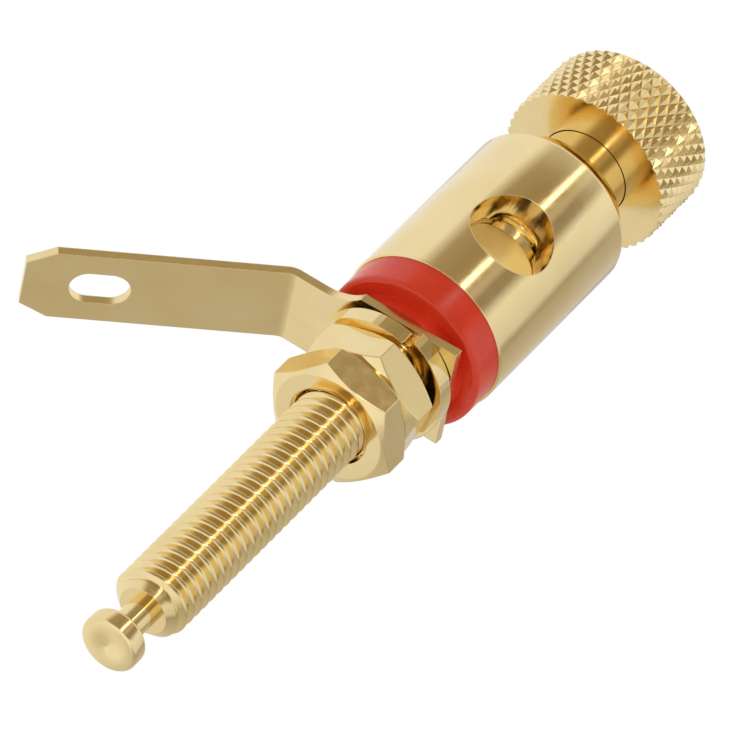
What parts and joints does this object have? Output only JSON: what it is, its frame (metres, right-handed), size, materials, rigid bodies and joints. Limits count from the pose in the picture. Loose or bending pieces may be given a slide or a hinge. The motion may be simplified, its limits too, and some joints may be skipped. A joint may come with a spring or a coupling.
{
  "type": "binding post",
  "caption": "Panel binding post: gold turned barrel with a wire hole, knurled clamp knob with plug socket, red insulating washer, solder tag, spring washer and nuts on a long stud.",
  "frame": {"origin": "on the post's axis, in the flange face of the insulating washer that seats on the panel", "axes": "+Z along the axis towards the knob, the stud points along -Z; the wire hole runs along Y; the solder tag points towards +X and a little towards -Y"},
  "size_m": [0.0264, 0.0145, 0.0578],
  "materials": {
    "post_plating": "bright gold plating over turned brass",
    "tag_plating": "bright gold plating over stamped sheet",
    "washer_plating": "bright gold plating over coiled wire",
    "nut_plating": "bright gold plating over turned brass",
    "spindle_plating": "bright gold plating over turned brass",
    "knob_plating": "bright gold plating over knurled brass",
    "red_plastic": "smooth glossy red plastic"
  },
  "bodies": {
    "post": {"post_body": "post_plating", "insulating_washer": "red_plastic"},
    "spindle": {"clamp_spindle": "spindle_plating"},
    "knob": {"knurled_knob": "knob_plating"},
    "washer": {"spring_washer": "washer_plating"},
    "tag": {"solder_tag": "tag_plating"},
    "inner_nut": {"clamp_nut": "nut_plating"},
    "outer_nut": {"lock_nut": "nut_plating"}
  },
  "joints": [
    {"name": "clamp_lift", "type": "slide", "parent": "post", "child": "spindle", "axis": [0, 0, 1], "range_m": [-0.00275, 0.0045]},
    {"name": "knob_turn", "type": "hinge", "parent": "spindle", "child": "knob", "pos_m": [0, 0, 0.0233], "axis": [0, 0, 1], "range_deg": [-1321, 2161]},
    {"name": "washer_travel", "type": "slide", "parent": "post", "child": "washer", "axis": [0, 0, -1], "range_m": [0, 0.018]},
    {"name": "clamp_nut_turn", "type": "hinge", "parent": "washer", "child": "inner_nut", "pos_m": [0, 0, -0.00445], "axis": [0, 0, -1], "range_deg": [-1, 8101]},
    {"name": "lock_nut_turn", "type": "hinge", "parent": "washer", "child": "outer_nut", "pos_m": [0, 0, -0.00695], "axis": [0, 0, -1], "range_deg": [-1, 8101]},
    {"name": "tag_swivel", "type": "hinge", "parent": "washer", "child": "tag", "pos_m": [0, 0, -0.00115], "axis": [0, 0, 1], "continuous": true}
  ],
  "couplings": [
    {"joint": "knob_turn", "follows": "clamp_lift", "rad_per_m": 8377.6},
    {"joint": "clamp_nut_turn", "follows": "washer_travel", "rad_per_m": 7854},
    {"joint": "lock_nut_turn", "follows": "washer_travel", "rad_per_m": 7854}
  ]
}
